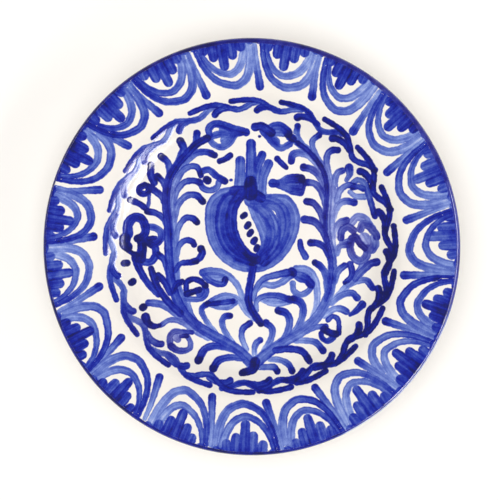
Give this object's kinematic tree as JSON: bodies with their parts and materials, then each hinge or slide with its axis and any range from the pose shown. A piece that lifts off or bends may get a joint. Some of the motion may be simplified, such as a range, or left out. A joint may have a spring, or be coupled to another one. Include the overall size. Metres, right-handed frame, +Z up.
{
  "type": "decorated plate",
  "caption": "Round footed earthenware plate with a wide rim, white glazed and hand painted in cobalt with a pomegranate, leafy vines, a rope border and hanging arches.",
  "frame": {"origin": "middle of the plate, on the surface that the foot ring stands on", "axes": "+Z up out of the well, the plate's axis; +Y towards the crown of the painted pomegranate, the top when the plate hangs"},
  "size_m": [0.279, 0.279, 0.0334],
  "materials": {
    "earthenware": "matte",
    "white_glaze": "gloss",
    "cobalt_paint": "gloss"
  },
  "bodies": {
    "root": {"clay_body": "earthenware", "face_glaze": "white_glaze", "back_glaze": "white_glaze", "foot_recess_glaze": "white_glaze", "pomegranate_lobes": "cobalt_paint", "pomegranate_seeds": "cobalt_paint", "pomegranate_crown": "cobalt_paint", "pomegranate_stem": "cobalt_paint", "stem_leaves": "cobalt_paint", "base_sprig": "cobalt_paint", "left_vine": "cobalt_paint", "right_vine": "cobalt_paint", "left_flower": "cobalt_paint", "right_flower": "cobalt_paint", "top_buds": "cobalt_paint", "small_blossoms": "cobalt_paint", "left_inner_leaves": "cobalt_paint", "left_outer_leaves": "cobalt_paint", "right_inner_leaves": "cobalt_paint", "right_outer_leaves": "cobalt_paint", "loose_dabs": "cobalt_paint", "rope_outer_strokes": "cobalt_paint", "rope_inner_strokes": "cobalt_paint", "rim_fans": "cobalt_paint", "rim_dividers": "cobalt_paint", "rim_inner_arches": "cobalt_paint", "rim_outer_arches": "cobalt_paint", "lip_band": "cobalt_paint"}
  },
  "joints": []
}
